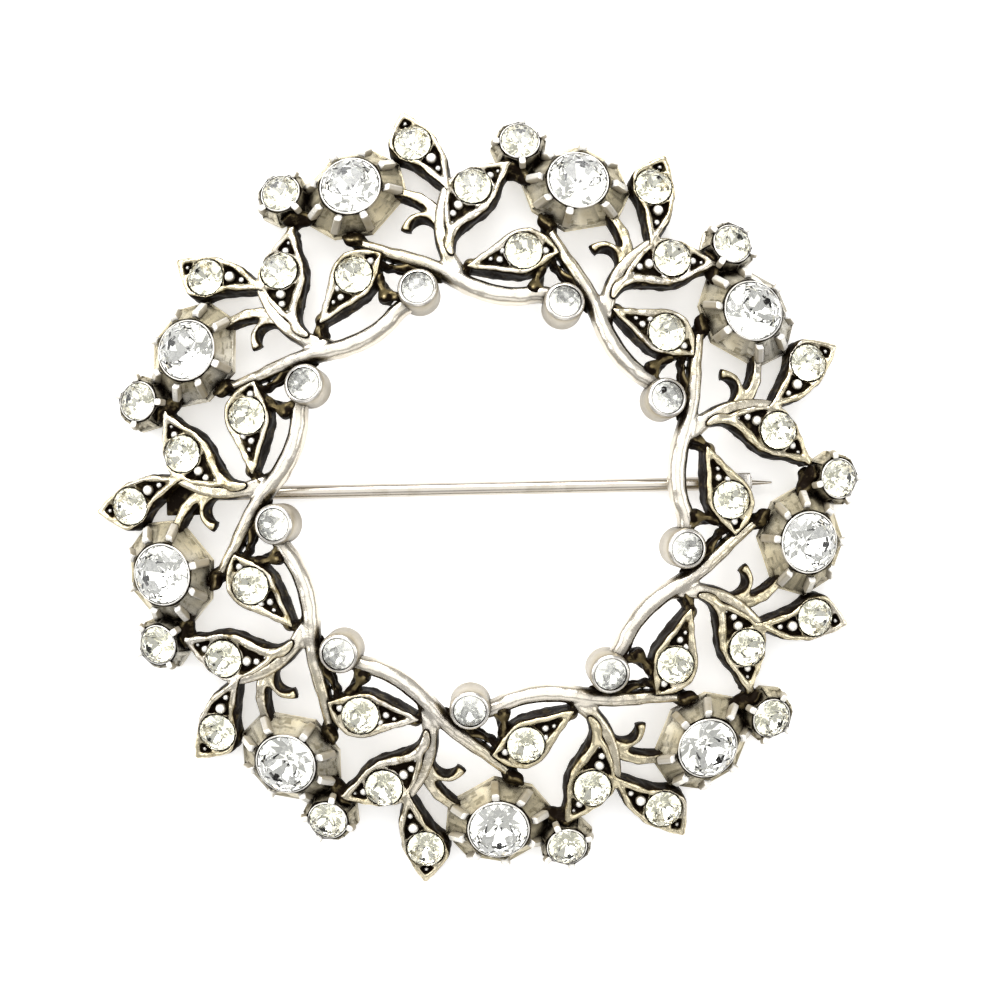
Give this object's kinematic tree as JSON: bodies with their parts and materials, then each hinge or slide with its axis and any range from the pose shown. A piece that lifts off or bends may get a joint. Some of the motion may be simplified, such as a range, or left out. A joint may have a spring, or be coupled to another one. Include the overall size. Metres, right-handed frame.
{
  "type": "wreath brooch",
  "caption": "Round openwork wreath brooch of leaves, flowers and berries set with paste stones, with a hinged pin and an open catch behind.",
  "frame": {"origin": "centre of the wreath, on the flat that its nine outer leaf tips stand on", "axes": "+Z out of the stones' side, +X from the pin's hinge towards its catch, +Y up as worn"},
  "size_m": [0.0482, 0.0489, 0.0052],
  "materials": {
    "silvered_metal": "old silver-plated casting, worn bright on the high places and dark in the hollows",
    "pin_wire": "bright nickel wire",
    "paste": "foil-backed clear paste"
  },
  "bodies": {
    "brooch": {"wreath_frame": "silvered_metal", "hinge_rivet": "pin_wire", "leaf_stones": "paste", "flower_stone_1": "paste", "flower_stone_2": "paste", "flower_stone_3": "paste", "flower_stone_4": "paste", "flower_stone_5": "paste", "flower_stone_6": "paste", "flower_stone_7": "paste", "flower_stone_8": "paste", "flower_stone_9": "paste", "berry_stone_1": "paste", "berry_stone_2": "paste", "berry_stone_3": "paste", "berry_stone_4": "paste", "berry_stone_5": "paste", "berry_stone_6": "paste", "berry_stone_7": "paste", "berry_stone_8": "paste", "berry_stone_9": "paste", "bezel_stone_1": "paste", "bezel_stone_2": "paste", "bezel_stone_3": "paste", "bezel_stone_4": "paste", "bezel_stone_5": "paste", "bezel_stone_6": "paste", "bezel_stone_7": "paste", "bezel_stone_8": "paste", "bezel_stone_9": "paste"},
    "pin": {"pin_stem": "pin_wire"}
  },
  "joints": [
    {"name": "pin_hinge", "type": "hinge", "parent": "brooch", "child": "pin", "pos_m": [-0.0186, 0.00021, 0.00078], "axis": [-0.0209, 0.9998, 0], "range_deg": [0, 75]}
  ]
}
